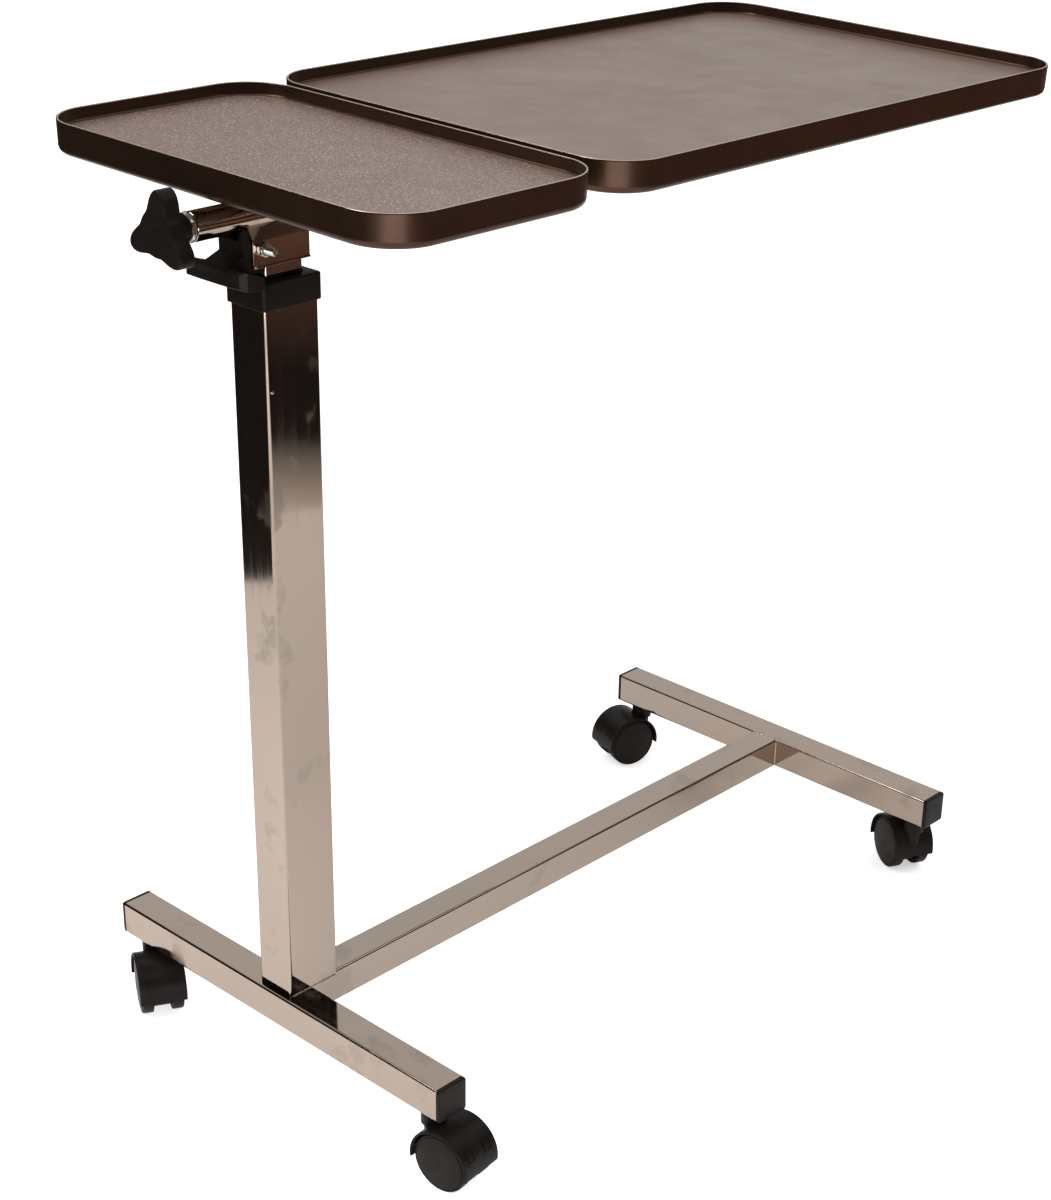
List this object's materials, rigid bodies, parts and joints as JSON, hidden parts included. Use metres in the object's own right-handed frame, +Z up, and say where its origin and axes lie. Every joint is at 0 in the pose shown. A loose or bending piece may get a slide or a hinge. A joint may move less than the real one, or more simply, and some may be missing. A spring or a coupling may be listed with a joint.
{
  "type": "overbed table",
  "caption": "Overbed table on an H-shaped base with twin-wheel casters, a gas-sprung lifting column, a fixed small tray and a tilting large tray.",
  "frame": {"origin": "on the floor under the middle of the table's bounding box, in the pose shown", "axes": "+X from the column towards the far foot bar, along the trays' length; +Y along the foot bars; +Z up"},
  "size_m": [0.8374, 0.4396, 0.7809],
  "materials": {
    "chrome": "polished chrome plate on steel tube and sheet",
    "zinc_steel": "bright zinc plate",
    "black_plastic": "moulded black, soft sheen",
    "brown_tray": "dark brown, satin rim and finely textured floor",
    "guide_plastic": "moulded nylon",
    "cylinder_paint": "black enamel"
  },
  "bodies": {
    "base": {"near_foot_bar": "chrome", "far_foot_bar": "chrome", "base_beam": "chrome", "near_left_end_plug": "black_plastic", "near_right_end_plug": "black_plastic", "far_left_end_plug": "black_plastic", "far_right_end_plug": "black_plastic", "column_tube": "chrome", "column_collar": "black_plastic", "gas_spring_foot": "zinc_steel", "gas_cylinder": "cylinder_paint", "near_left_caster_stem": "zinc_steel", "near_left_stem_nut": "zinc_steel", "near_right_caster_stem": "zinc_steel", "near_right_stem_nut": "zinc_steel", "far_left_caster_stem": "zinc_steel", "far_left_stem_nut": "zinc_steel", "far_right_caster_stem": "zinc_steel", "far_right_stem_nut": "zinc_steel"},
    "lift": {"lift_tube": "chrome", "lower_glide": "guide_plastic", "rod_anchor": "zinc_steel", "gas_rod": "zinc_steel", "head_bracket": "chrome", "lever_bolt": "zinc_steel", "lever_nut": "zinc_steel", "tilt_sleeve": "chrome", "tilt_end_nut": "zinc_steel", "friction_washer": "zinc_steel", "small_tray": "brown_tray", "small_tray_rail_a": "chrome", "small_tray_rail_b": "chrome"},
    "lever": {"height_lever": "black_plastic"},
    "release_pin": {"release_pin": "zinc_steel"},
    "tray_tilt": {"tilt_tube": "chrome", "tilt_shaft": "zinc_steel", "tilt_tube_cap": "black_plastic", "large_tray": "brown_tray", "large_tray_rail_a": "chrome", "large_tray_rail_b": "chrome", "large_tray_rail_c": "chrome"},
    "clamp_knob": {"tilt_knob": "black_plastic", "knob_stud": "zinc_steel"},
    "near_left_swivel": {"near_left_caster_hood": "black_plastic", "near_left_axle": "zinc_steel"},
    "near_left_wheel_a": {"near_left_wheel_a": "black_plastic"},
    "near_left_wheel_b": {"near_left_wheel_b": "black_plastic"},
    "near_right_swivel": {"near_right_caster_hood": "black_plastic", "near_right_axle": "zinc_steel"},
    "near_right_wheel_a": {"near_right_wheel_a": "black_plastic"},
    "near_right_wheel_b": {"near_right_wheel_b": "black_plastic"},
    "far_left_swivel": {"far_left_caster_hood": "black_plastic", "far_left_axle": "zinc_steel"},
    "far_left_wheel_a": {"far_left_wheel_a": "black_plastic"},
    "far_left_wheel_b": {"far_left_wheel_b": "black_plastic"},
    "far_right_swivel": {"far_right_caster_hood": "black_plastic", "far_right_axle": "zinc_steel"},
    "far_right_wheel_a": {"far_right_wheel_a": "black_plastic"},
    "far_right_wheel_b": {"far_right_wheel_b": "black_plastic"}
  },
  "joints": [
    {"name": "height_lift", "type": "slide", "parent": "base", "child": "lift", "axis": [0, 0, 1], "range_m": [0, 0.4]},
    {"name": "height_lever_pivot", "type": "hinge", "parent": "lift", "child": "lever", "pos_m": [-0.33765, 0.00886, 0.714], "axis": [0, 1, 0], "range_deg": [0, 7], "stiffness_Nm_per_rad": 2, "springref_deg": -2.86},
    {"name": "release_pin_slide", "type": "slide", "parent": "lift", "child": "release_pin", "axis": [0, 0, 1], "range_m": [-0.004, 0]},
    {"name": "tray_tilt_hinge", "type": "hinge", "parent": "lift", "child": "tray_tilt", "pos_m": [-0.17265, 0.00886, 0.7355], "axis": [1, 0, 0], "range_deg": [-40, 40]},
    {"name": "clamp_knob_turn", "type": "hinge", "parent": "tray_tilt", "child": "clamp_knob", "pos_m": [-0.41165, 0.00886, 0.7355], "axis": [-1, 0, 0], "range_deg": [0, 540]},
    {"name": "near_left_swivel_turn", "type": "hinge", "parent": "base", "child": "near_left_swivel", "pos_m": [-0.33265, 0.18576, 0.055], "axis": [0, 0, 1], "continuous": true},
    {"name": "near_left_wheel_a_roll", "type": "hinge", "parent": "near_left_swivel", "child": "near_left_wheel_a", "pos_m": [-0.34273, 0.16757, 0.0254], "axis": [0.8746, -0.4848, 0], "continuous": true},
    {"name": "near_left_wheel_b_roll", "type": "hinge", "parent": "near_left_swivel", "child": "near_left_wheel_b", "pos_m": [-0.34273, 0.16757, 0.0254], "axis": [0.8746, -0.4848, 0], "continuous": true},
    {"name": "near_right_swivel_turn", "type": "hinge", "parent": "base", "child": "near_right_swivel", "pos_m": [-0.33265, -0.16804, 0.055], "axis": [0, 0, 1], "continuous": true},
    {"name": "near_right_wheel_a_roll", "type": "hinge", "parent": "near_right_swivel", "child": "near_right_wheel_a", "pos_m": [-0.33048, -0.18873, 0.0254], "axis": [0.9945, 0.1045, 0], "continuous": true},
    {"name": "near_right_wheel_b_roll", "type": "hinge", "parent": "near_right_swivel", "child": "near_right_wheel_b", "pos_m": [-0.33048, -0.18873, 0.0254], "axis": [0.9945, 0.1045, 0], "continuous": true},
    {"name": "far_left_swivel_turn", "type": "hinge", "parent": "base", "child": "far_left_swivel", "pos_m": [0.32005, 0.18576, 0.055], "axis": [0, 0, 1], "continuous": true},
    {"name": "far_left_wheel_a_roll", "type": "hinge", "parent": "far_left_swivel", "child": "far_left_wheel_a", "pos_m": [0.30016, 0.19184, 0.0254], "axis": [-0.2924, -0.9563, 0], "continuous": true},
    {"name": "far_left_wheel_b_roll", "type": "hinge", "parent": "far_left_swivel", "child": "far_left_wheel_b", "pos_m": [0.30016, 0.19184, 0.0254], "axis": [-0.2924, -0.9563, 0], "continuous": true},
    {"name": "far_right_swivel_turn", "type": "hinge", "parent": "base", "child": "far_right_swivel", "pos_m": [0.32005, -0.16804, 0.055], "axis": [0, 0, 1], "continuous": true},
    {"name": "far_right_wheel_a_roll", "type": "hinge", "parent": "far_right_swivel", "child": "far_right_wheel_a", "pos_m": [0.32982, -0.14968, 0.0254], "axis": [-0.8829, 0.4695, 0], "continuous": true},
    {"name": "far_right_wheel_b_roll", "type": "hinge", "parent": "far_right_swivel", "child": "far_right_wheel_b", "pos_m": [0.32982, -0.14968, 0.0254], "axis": [-0.8829, 0.4695, 0], "continuous": true}
  ],
  "couplings": [
    {"joint": "release_pin_slide", "follows": "height_lever_pivot", "m_per_rad": -0.0225}
  ]
}
